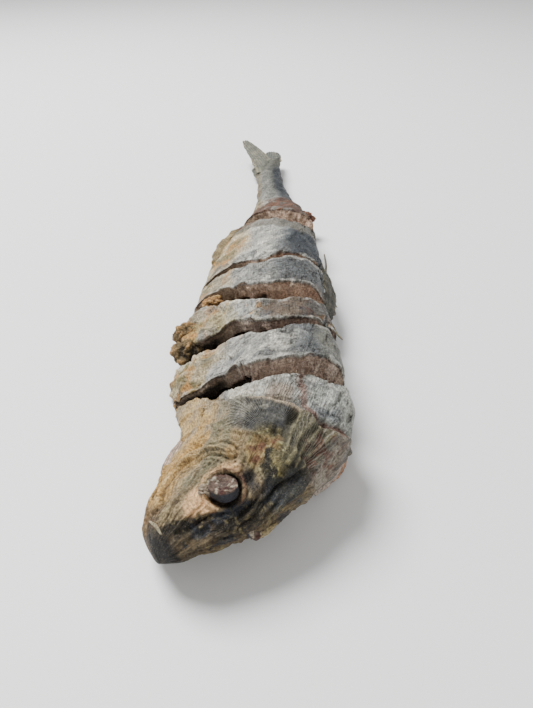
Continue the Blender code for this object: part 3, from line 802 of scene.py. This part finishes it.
# Fine ridges run along the head, and the dark crown is granular
grooves = streaked(head, 7.0, 0.85, 47, 4) * np.maximum(ramp(station, 15, 11), ramp(angle, 30, 18))
folds = streaked(head, 9.0, 2.4, 48, 3)
granular = ramp(rough(4.0, 49), -0.6, 0.2) * ramp(angle, 30, 12) * ramp(station, 22, 18)
flow_lines = np.sin(8.4 * lip_gap + 3.2 * soft(3.5, 75)) * np.exp(-lip_gap / 3.6)
rim_lines = np.sin(8.4 * (eye_gap - 2.9) + 2.6 * soft(1.8, 76))
rim_lines *= ramp(eye_gap, 2.9, 3.3) * np.exp(-(eye_gap - 3) / 2.0)
crown_folds = streaked(head, 14.0, 1.7, 77, 3) * window(angle, -75, -60, 0, 14)
relief = 0.20 * rough(2.2, 41, 5) + 0.14 * grooves + 0.20 * folds
relief += 0.17 * flow_lines + 0.16 * rim_lines + 0.30 * crown_folds
relief += granular * 0.20 * soft(0.6, 43)
relief += upper * 0.60 * np.exp(np.minimum(from_gill, 0) / 3.0) * on_gill
relief += upper * (0.25 * bell(from_gill + 0.45, 0.35) - 0.40 * bell(from_gill - 0.35, 0.35))
relief += 0.30 * bell(from_cheek, 0.35) * upper
relief -= 0.40 * window(from_cheek, 0.0, 0.6, 0.8, 4.5) * upper
for line_name, beside, half_width, height in RIDGES:
    relief += height * bell(gaps[line_name] - beside, half_width)
for gap in ray_gaps:
    relief += 0.30 * bell(gap, GILL_RAY_WIDTH)
for place, half_width, depth in DIMPLES:
    relief -= depth * bell(far_from(place), half_width)
relief -= 1.7 * ramp(eye_gap, 2.65, 2.15)
relief += 0.50 * bell(eye_gap - EYE_RIM, 0.26)
relief *= ramp(station, 0.0, 4.0)
relief -= 0.5 * bell(gaps["throat_crack"], 0.22)
relief += (body_relief(head) - relief) * ramp(from_gill, 0.5, 1.6)
relief = relief * (1 - deep) + body_relief(head) * deep

# Snout, jaws and cheek
side = ramp(angle + 10 * rough(3.0, 81), 84, 104) * ramp(station, 4, 7)
middle = ramp(angle + 10 * rough(2.5, 82), 34, 48) * ramp(angle, 100, 84) * ramp(station, 7, 10)
cover = ramp(from_cheek + 0.5 * soft(1.5, 63), 0.0, 1.2) * on_gill
cover *= ramp(angle + 5 * soft(2.0, 64), -8, 2) * ramp(angle + 9 * rough(2.0, 65), 84, 36)
seam = ramp(angle + 8 * rough(2.4, 87), 66, 78) * ramp(angle, 98, 86) * ramp(station, 21, 23.5)
lines = np.clip(0.6 * grooves + 0.8 * flow_lines + 0.8 * rim_lines, -1, 1) * (1 - cover)
cream_gap = far_from((7.2, 31.0)) + 0.9 * rough(1.8, 53)
paint = lay_coats(srgb(*HEAD_SKIN), (
    (HEAD_BROWN, ramp(folds, 0.0, 0.7) * 0.75),
    ((178, 160, 118), ramp(rough(3.0, 51), 0.1, 0.7) * 0.6),
    (GILL_TAN, ramp(station, 14.5, 16.5) * ramp(angle, 22, 38) * 0.85),
    (HEAD_GOLD, (bell(lip_gap, 0.8) + bell(gaps["jaw"], 0.9)) * 0.75),
    (HEAD_BROWN, bell(lip_gap - 1.3, 0.35) * 0.55),
    ((88, 70, 58), ramp(angle, 128, 134) * ramp(station, 12, 8) * 0.7),
    ((104, 82, 66), ramp(station, 6.0, 3.5) * ramp(angle + 8 * soft(1.6, 78), 84, 96) * 0.7),
    ((190, 150, 84), side * 0.65),
    ((122, 118, 92), middle * ramp(rough(2.6, 83), -0.5, 0.2) * 0.8),
    ((94, 78, 60), ramp(soft(0.7, 84), 0.45, 0.65) * ramp(station, 3, 6) * 0.6),
    (GILL_GREY, cover * 0.92),
    ((44, 48, 56), cover * ramp(rough(2.4, 79) - 0.035 * (angle - 26), -0.2, 0.5) * 0.78),
    ((164, 160, 146), cover * ramp(rough(1.8, 86) + 0.02 * (angle - 38), 0.05, 0.5) * 0.75),
    ((134, 132, 118), seam * (1 - cover) * 0.55),
    # Painted highlight on the raised lines of the head and painted shade in its grooves, round the eye too,
    # where the relief rises and dips with them
    ((204, 180, 136), ramp(lines, 0.2, 0.8) * 0.5),
    ((60, 48, 38), ramp(lines, -0.2, -0.8) * 0.65),
    (HEAD_CREAM, ramp(cream_gap, 3.3, 1.9) * 0.95),
    # Painted highlight: a cream ring just outside the eye hollow's rim, on the side away from the back
    (HEAD_CREAM, bell(eye_gap - 3.6, 0.5) * ramp(angle, 8, 26) * 0.6),
))

# Crown, and the olive and red stains behind the eye
into_crown = smooth_curve(CROWN_EDGE, station) - angle + 6 * rough(2.0, 54)
crown = ramp(into_crown, -2, 9) * ramp(station, 22, 18)
olive = ramp(station, 14.5, 16.5) * ramp(from_cheek, 2.2, 0.5) * window(angle, -26, -12, 18, 27)
paint = lay_coats(paint, (
    (HEAD_BLACK, crown * ramp(into_crown, 60, 22) * 0.92),
    (HEAD_BROWN, crown * ramp(into_crown, 26, 50) * 0.90),
    (HEAD_BLACK, crown * bell(gaps["brow"], 0.9) * 0.8),
    ((112, 102, 76), crown * ramp(crown_folds + 0.5 * grooves, 0.15, 0.7) * 0.45),
    ((136, 124, 90), crown * ramp(soft(0.42, 55), 0.30, 0.55) * ramp(station, 2, 5) * 0.7),
    ((50, 55, 64), crown * ramp(rough(2.4, 66) - 0.6 * crown_folds, 0.1, 0.6) * 0.75),
    (HEAD_BLACK, ramp(station + 0.6 * soft(1.2, 56), 2.6, 1.4) * ramp(angle, 126, 96) * 0.95),
    ((86, 78, 66), ramp(station, 5.0, 3.0) * ramp(rough(0.9, 96), 0.15, 0.6) * 0.55),
    (HEAD_OLIVE, olive * 0.85),
    ((160, 148, 94), olive * ramp(rough(0.9, 57, 2), 0.2, 0.55) * 0.8),
    (HEAD_BLACK, olive * ramp(rough(2.0, 58), 0.0, 0.4) * 0.9),
    ((178, 170, 128), olive * ramp(soft(0.55, 88), 0.4, 0.6) * 0.7),
))
for place, size in RED_STAINS:
    gap = far_from(place) + 0.8 * soft(0.9, 59)
    paint = lay(paint, srgb(156, 128, 84), ramp(gap, size + 0.4, size) * 0.5)
    paint = lay(paint, srgb(96, 60, 44), ramp(gap, 0.8 * size, 0.4 * size) * 0.85)
# Painted shade: dark blue-grey spots in the dimples between the bones
for place, size in DIMPLE_SHADE_SPOTS:
    gap = far_from(place) + 0.7 * soft(1.1, 67)
    paint = lay(paint, srgb(36, 40, 48), ramp(gap, size + 0.5, 0.5 * size) * 0.88)

# Nape and left gill cover
behind = ramp(station, 13, 15) * before_gill * window(angle, -40, -32, -12, -6)
nape = ramp(station, 19.5, 21) * before_gill * window(angle, -26, -18, -3, 4)
paint = lay(paint, srgb(58, 60, 58), behind * (0.65 + 0.3 * soft(2.0, 85)))
paint = lay(paint, srgb(104, 100, 78), nape * 0.8)
for gap in ray_gaps:
    paint = lay(paint, srgb(160, 152, 120), bell(gap, GILL_RAY_WIDTH) * 0.7)
    paint = lay(paint, srgb(48, 48, 40), bell(gap - 0.6, 0.25) * 0.6)
left_cover = ramp(station, 18.5, 21) * ramp(angle, -26, -34) * on_gill
paint = lay_coats(paint, (
    (GILL_PINK, left_cover * 0.85),
    ((98, 76, 62), left_cover * ramp(rough(2.0, 68), 0.2, 0.6) * 0.7),
    ((84, 84, 80), left_cover * ramp(folds, 0.1, 0.6) * 0.6),
))

# Collar, throat, seams and slits
collar_paint, finish = body_paint(head)
collar = ramp(from_gill, -0.05, 0.2)
paint = paint * (1 - collar[..., None]) + collar_paint * collar[..., None]
collar_skin = collar * (1 - deep)
pale_band = ramp(from_gill + soft(1.5, 80), 3.5, 1.5) * window(angle, 30, 44, 70, 84)
dusky = ramp(rough(2.6, 97), 0.0, 0.6) * ramp(station, 15, 18) * ramp(angle, 66, 80) * (1 - deep)
throat = ramp(angle + 6 * soft(2.0, 73), 86, 98) * ramp(station, 23, 26)
red = gaps["red_seam"] / np.maximum(0.75 + 0.6 * rough(1.2, 62), 0.15) * (1 + ramp(angle, -8, -16))
blotch = ramp(far_from((22.6, -30)) + 1.2 * rough(1.8, 69), 4.5, 3.0)
paint = lay_coats(paint, (
    ((156, 132, 110), collar_skin * ramp(from_gill, 3.6, 1.8) * window(angle, 2, 8, 20, 30) * 0.6),
    ((222, 216, 196), collar_skin * pale_band * 0.8),
    ((186, 187, 178), collar_skin * ramp(angle, 0, -8) * ramp(rough(2.5, 89), -0.5, 0.3) * 0.6),
    ((200, 168, 112), throat * (1 - deep) * (0.75 + 0.3 * soft(2.0, 74))),
    ((150, 142, 124), dusky * 0.55),
    # Painted shade: black in the throat crack, which the relief also sinks
    (HEAD_BLACK, bell(gaps["throat_crack"], 0.2) * 0.9),
    ((198, 176, 146), bell(from_gill + 0.20, 0.30) * window(angle, -6, 2, 26, 44) * 0.9),
    # Painted shade: a dark line just behind the gill cover's edge, in the groove under it
    (HEAD_BLACK, bell(from_gill - 0.25, 0.15) * upper * 0.7),
    ((112, 68, 52), ramp(red, 1.1, 0.4) * (1 - deep) * 0.7),
    ((96, 62, 50), blotch * ramp(soft(1.0, 70), 0.0, 0.4) * 0.75),
    # Painted shade: black in the mouth's groove and in the slit on the top of the head, where the relief
    # sinks
    (HEAD_BLACK, bell(gaps["mouth"], 0.28) * 0.85),
    (HEAD_BLACK, bell(gaps["slit"], 0.4) * 0.85),
    # Painted shade: dark in the eye hollow round the eyeball
    ((40, 30, 25), ramp(eye_gap, 2.7, 2.4) * 0.95),
    ((96, 58, 42), bell(eye_gap - 3.0, 0.25) * ramp(station - EYE_PLACE[0], -0.5, 1.0) * 0.7),
))
finish[..., 0] = np.maximum(finish[..., 0], 0.45 * (1 - collar))
finish[..., 1] = finish[..., 1] * collar + (1 - collar) * 0.18
finish[..., 2] = collar * (1 - deep)
head.push(relief)
show_skin(head, "head_and_collar", paint, finish, closed_start=True, fan=fan)


# Front body sections
# The two steps of flank between the first three cuts. Each is a slab of muscle under skin
# that shrank back from the knife's edge and curled up a little.
STEP_RINGS = 46


def show_body(stretch, name, relief=1.0, closed_end=False):
    """Paint a stretch of the body, give it its relief and make the piece."""
    paint, finish = body_paint(stretch)
    stretch.push(body_relief(stretch) * relief)
    show_skin(stretch, name, paint, finish, closed_end=closed_end)


second_front, second_rear = torn_rims(CUTS[1], 2)
third_front, third_rear = torn_rims(CUTS[2], 3)
front_body = Skin(cut_rings(front, rear, CUTS[0], 0.49, 1.0)
                  + skin_rings(rear, second_front, STEP_RINGS)
                  + cut_rings(second_front, second_rear, CUTS[1], 0.0, 1.0)
                  + skin_rings(second_rear, third_front, STEP_RINGS)
                  + cut_rings(third_front, third_rear, CUTS[2], 0.0, 0.51))
show_body(front_body, "front_sections")


# Rear body sections
# The steps of flank from the third cut to the last one, in front of the tail, each a slab
# of muscle under silver skin.
fourth_front, fourth_rear = torn_rims(CUTS[3], 4)
fifth_front, fifth_rear = torn_rims(CUTS[4], 5)
rear_body = Skin(cut_rings(third_front, third_rear, CUTS[2], 0.49, 1.0)
                 + skin_rings(third_rear, fourth_front, STEP_RINGS)
                 + cut_rings(fourth_front, fourth_rear, CUTS[3], 0.0, 1.0)
                 + skin_rings(fourth_rear, fifth_front, 80)
                 + cut_rings(fifth_front, fifth_rear, CUTS[4], 0.0, 0.51))
show_body(rear_body, "rear_sections")


# Tail root
# The narrow root of the tail, from the last cut to the fork, with its skin unbroken. It
# has little flesh, so it dried almost smooth.
TAIL_RELIEF = 0.6
fork = np.full_like(ring_angles, LOFT_LENGTH)
tail = Skin(cut_rings(fifth_front, fifth_rear, CUTS[4], 0.49, 1.0)
            + skin_rings(fifth_rear, fork, 150, end_free=True))
show_body(tail, "tail_root", TAIL_RELIEF, closed_end=True)


# Eyes
# Each eyeball shrank to a hard button in its hollow: a pale, flat, reddish top that
# collapsed, and dark sides. The right one tips back against the hollow's rim.
FLOOR_CLEARANCE = 0.05
EYE_OUTLINE = ((0.0, 0.02, -1.6), (0.2, 0.7, -1.5), (0.4, 0.98, -0.9), (0.6, 1.02, 0.2),
               (0.72, 0.93, 0.75), (0.82, 0.72, 0.80), (0.92, 0.35, 0.55), (1.0, 0.01, 0.48))
eye_material = dried_material("shrunken eye", 0.12, 0.1, 900.0)


def show_grid(grid, name, paint, finish, flow, material):
    """Make a piece that is closed at both ends, and keep it clear of the floor."""
    points = grid.copy()
    points[..., 2] = np.maximum(points[..., 2], FLOOR_CLEARANCE)
    show_piece(name, points, {"paint": paint, "finish": finish, "flow": flow}, material)


def make_eye(name, place, axis, stand, radius, seed):
    """A dried eye from its outline: share of the way, distance from the middle and height."""
    axis = np.array(axis) / np.linalg.norm(axis)
    side = np.cross(axis, (0.0, 1.0, 0.0))
    side = side / np.linalg.norm(side)
    ahead = np.cross(axis, side)
    run = np.linspace(0.0, 1.0, 70)
    away = smooth_curve([(a, b) for a, b, c in EYE_OUTLINE], run)[:, None] * radius
    height = smooth_curve([(a, c) for a, b, c in EYE_OUTLINE], run)[:, None]
    turn = np.linspace(0, 2 * np.pi, 110, endpoint=False)[None, :]
    away = away * (1 + 0.10 * np.cos(2 * turn + 0.6) + 0.05 * np.cos(3 * turn + seed))
    local = np.stack([away * np.cos(turn), away * np.sin(turn), height + 0 * turn], -1)
    top = ramp(height + 0 * turn, 0.35, 0.6)
    local[..., 2] += top * (0.40 * rough_cloud(local, 1.2, seed, 5) + 0.05 * local[..., 0])
    local[..., :2] *= 1 + (0.09 * rough_cloud(local, 1.5, seed + 9))[..., None]
    centre = fish_point(*place) + stand * axis
    grid = centre + local[..., :1] * side + local[..., 1:2] * ahead + local[..., 2:3] * axis
    paint = lay_coats(srgb(34, 36, 44), (
        ((96, 78, 68), top * 0.95),
        ((64, 30, 26), top * ramp(rough_cloud(local, 1.1, seed + 3), -0.1, 0.4) * 0.9),
        ((170, 158, 138), top * ramp(rough_cloud(local, 0.7, seed + 5), 0.2, 0.5) * 0.85),
        # Painted light: the eye's outer side towards the overhead lamp is lighter brown, the side away stays
        # dark
        ((96, 72, 60), ramp(local[..., 0], 0.6 * radius, 1.1 * radius) * (1 - top) * 0.5),
    ))
    finish = np.stack([0.4 * top, 0.3 * (1 - top), 0 * top], -1)
    show_grid(grid[:, ::-1], name, paint[:, ::-1], finish[:, ::-1], 3.0 * grid[:, ::-1], eye_material)


make_eye("right_eye", (10.9, 23.0), (-0.22, 0.18, 1.0), 0.2, 2.15, 81)
make_eye("left_eye", (12.0, -42.0), (0.70, -0.66, 0.28), -1.0, 2.1, 91)


# Fins, gill flaps and slivers of bone
# Thin parts that dried stiff: the gill membrane at the throat, the torn cover of the left
# gill, two slivers of bone, the folded back fin with loose rays, and the tail's two lobes.
thin_material = dried_material("dried fin and bone", 0.14, 0.2, 700.0)
RIB_WAVE = 9 * np.pi
# Painted shade for the grooves between the ribs of fins and flaps
RIB_GROOVE_SHADE = (60, 60, 54)
RAY_COLOURS = ((120, 112, 92), (90, 84, 70), (140, 130, 108))


def on_skin(station, angle, lift):
    """A point this far off the smooth skin."""
    return fish_point(station, angle, rise=lift)


def make_blade(name, path, width, thickness, facing, colours, ribs=0.0, ragged=0.0, base=0.10, tip=0.92,
               cup=0.0, rough=0.16, seed=1, material=thin_material):
    """A thin strip along a path, tapered to its ends, with ribs along it and a torn edge."""
    path = np.array(path, dtype=float)
    places = np.linspace(0.0, 1.0, len(path))
    share = np.linspace(0.0, 1.0, 90)
    centre = np.stack([smooth_curve(list(zip(places, path[:, k])), share) for k in range(3)], -1)
    ahead = np.gradient(centre, axis=0)
    ahead /= np.linalg.norm(ahead, axis=-1, keepdims=True)
    side = np.cross(ahead, facing)
    side /= np.linalg.norm(side, axis=-1, keepdims=True)
    flat = np.cross(side, ahead)
    turn = np.linspace(0, 2 * np.pi, 64, endpoint=False)
    taper = np.sin(np.pi * (base + (tip - base) * share)) ** 0.6
    across = np.cos(turn)[None, :] * taper[:, None]
    over = np.sign(np.sin(turn)) * np.abs(np.sin(turn)) ** 0.7
    where = centre[:, None, :] + side[:, None, :] * (0.5 * width * across)[..., None]
    edge = 1 + ragged * rough_cloud(where, 1.6, seed) * np.abs(across)
    lift = 0.5 * thickness * over[None, :] * (0.35 + 0.65 * taper[:, None])
    lift = lift + ribs * np.sin(RIB_WAVE * across) * np.abs(over) + cup * (across ** 2 - 0.4)
    lift = lift + rough * rough_cloud(where, 2.4, seed + 1)
    grid = centre[:, None, :] + side[:, None, :] * (0.5 * width * across * edge)[..., None]
    grid = grid + flat[:, None, :] * lift[..., None]
    # Painted shade in the grooves between the ribs, where the rib wave dips
    rib_cover = ramp(np.sin(RIB_WAVE * across), 0.0, -0.8) * 0.6 if ribs else 0 * across
    paint = lay_coats(srgb(*colours[0]), (
        (colours[1], ramp(rough_cloud(grid, 2.0, seed + 2), -0.2, 0.5) * 0.8),
        (colours[2], ramp(np.abs(across), 0.70, 0.92) * 0.8),
        (RIB_GROOVE_SHADE, rib_cover),
    ))
    finish = np.stack([0.5 + 0 * lift, 0.1 + 0 * lift, 0 * lift], -1)
    flow = np.stack([6 * share[:, None] + 0 * across, 4 * across, 0 * across], -1)
    show_grid(grid, name, paint, finish, flow, material)


make_blade("right_gill_flap", ((-13.6, -73.8, 6.2), (-15.9, -68.0, 4.6), (-13.6, -60.5, 4.6)), 7.2, 0.45,
           (-0.5, 0.1, 0.85), ((164, 140, 124), (188, 162, 140), (128, 106, 92)),
           ribs=0.05, ragged=0.06, seed=101)
make_blade("left_gill_cover", ((12.6, -60.0, 9.0), (12.2, -66.5, 5.4), (7.6, -73.6, 3.6)), 8.0, 0.6,
           (0.75, -0.55, 0.35), ((160, 142, 130), (182, 168, 156), (168, 112, 70)),
           ragged=0.08, cup=0.5, seed=111)
make_blade("left_cheek_bone", [on_skin(10.6, -52, 0.5), on_skin(12.4, -57, 0.6), on_skin(14.6, -60, 0.3)],
           1.0, 0.6, (0.5, -0.7, 0.5), ((158, 142, 106), (132, 112, 78), (178, 164, 130)), seed=121)
make_blade("upper_jaw_bone", [on_skin(2.6, 100, 0.2), on_skin(2.2, 78, 0.2), on_skin(1.8, 56, 0.15)],
           0.5, 0.4, (-0.5, -0.3, 0.8), ((158, 146, 120), (136, 120, 96), (166, 156, 132)), seed=131)
make_blade("dorsal_fin", ((12.6, -36.0, 11.5), (14.6, -27.0, 10.6), (15.2, -17.0, 10.2), (13.6, -6.0, 10.4)),
           5.2, 0.5, (0.8, 0.0, 0.6), ((84, 82, 72), (60, 62, 60), (110, 104, 86)),
           ribs=0.12, ragged=0.32, seed=141)
make_blade("dorsal_ray_long", ((12.6, -29.0, 11.0), (14.6, -33.4, 8.8), (16.6, -37.4, 7.8)), 0.55, 0.45,
           (0.6, 0.2, 0.8), RAY_COLOURS, seed=151)
make_blade("dorsal_ray_short", ((12.4, -29.4, 10.8), (13.6, -33.6, 9.0), (14.6, -37.0, 8.0)), 0.55, 0.45,
           (0.6, 0.2, 0.8), RAY_COLOURS, seed=161)
make_blade("dorsal_ray_rear", ((14.4, -17.0, 10.0), (15.1, -13.0, 11.4), (15.0, -9.2, 13.3)), 0.6, 0.45,
           (0.6, 0.2, 0.8), ((104, 100, 86), (80, 76, 66), (126, 118, 98)), seed=191)
make_blade("tail_long_lobe", ((1.4, 70.0, 4.8), (-1.6, 81.0, 5.8), (-7.9, 93.4, 8.9)), 8.6, 0.6,
           (0.1, -0.25, 0.95), ((126, 124, 108), (96, 98, 90), (140, 132, 108)),
           ribs=0.16, ragged=0.12, base=0.38, tip=0.97, seed=171)
make_blade("tail_short_lobe", ((1.4, 72.0, 4.8), (2.6, 80.6, 5.4), (3.6, 87.4, 6.2)), 8.0, 0.6,
           (0.0, -0.15, 1.0), ((112, 112, 102), (84, 88, 86), (132, 126, 104)),
           ribs=0.16, ragged=0.12, seed=181)


# Lumps of belly flesh
# Oily belly flesh and bits of gut swelled out at the belly edge and dried in rough brown
# and ochre lumps; one more hangs at the back where the tail begins. Their hollows get
# painted shade.
lump_material = dried_material("dried belly flesh", 0.35, 0.3, 800.0)
KNOBS = 0.22


def make_lump(name, centre, radii, colours, seed):
    """A knobbly lump: the colour of its sides, of its knobs and of the painted shade in its hollows."""
    polar = np.linspace(0.02, np.pi - 0.02, 70)[:, None]
    turn = np.linspace(0, 2 * np.pi, 96, endpoint=False)[None, :]
    out = np.sin(polar)
    ball = np.stack([out * np.cos(turn), out * np.sin(turn), np.cos(polar) + 0 * turn], -1)
    shape = 1 + KNOBS * rough_cloud(ball * 2.4 + seed, 1.0, seed, 5)
    grid = np.array(centre) + ball * np.array(radii) * shape[..., None]
    paint = lay_coats(srgb(*colours[0]), (
        (colours[1], ramp(shape, 1.02, 1.14) * 0.9),
        # Painted shade: dark in the hollows between the knobs
        (colours[2], ramp(shape, 0.98, 0.86) * 0.9),
    ))
    finish = np.stack([0.9 + 0 * shape, 0.05 + 0 * shape, 0 * shape], -1)
    show_grid(grid, name, paint, finish, grid, lump_material)


belly_colours = ((104, 86, 58), (164, 128, 82), (36, 28, 20))
make_lump("belly_lump_front", (-17.0, -36.6, 3.8), (3.9, 3.2, 3.2), belly_colours, 201)
make_lump("belly_lump_middle", (-18.0, -30.6, 3.9), (3.5, 2.8, 3.2), belly_colours, 211)
make_lump("belly_lump_rear", (-12.4, -21.6, 6.8), (2.9, 1.8, 1.8),
          ((160, 120, 74), (188, 152, 102), (92, 66, 42)), 221)
make_lump("eye_corner_flesh", on_skin(9.3, 42, 0.1), (1.1, 0.9, 0.8),
          ((132, 116, 98), (156, 142, 122), (80, 66, 54)), 261)
make_lump("vent_flesh", (10.4, 26.0, 6.2), (4.8, 2.8, 2.6),
          ((98, 64, 50), (132, 98, 76), (58, 36, 30)), 231)
make_blade("belly_strip", ((-6.6, 21.0, 5.4), (-11.2, 12.6, 4.9), (-14.0, 2.0, 4.2)), 5.0, 3.2,
           (-0.5, 0.0, 0.85), ((122, 106, 76), (156, 138, 100), (84, 70, 48)),
           ragged=0.22, rough=0.45, seed=241, material=lump_material)
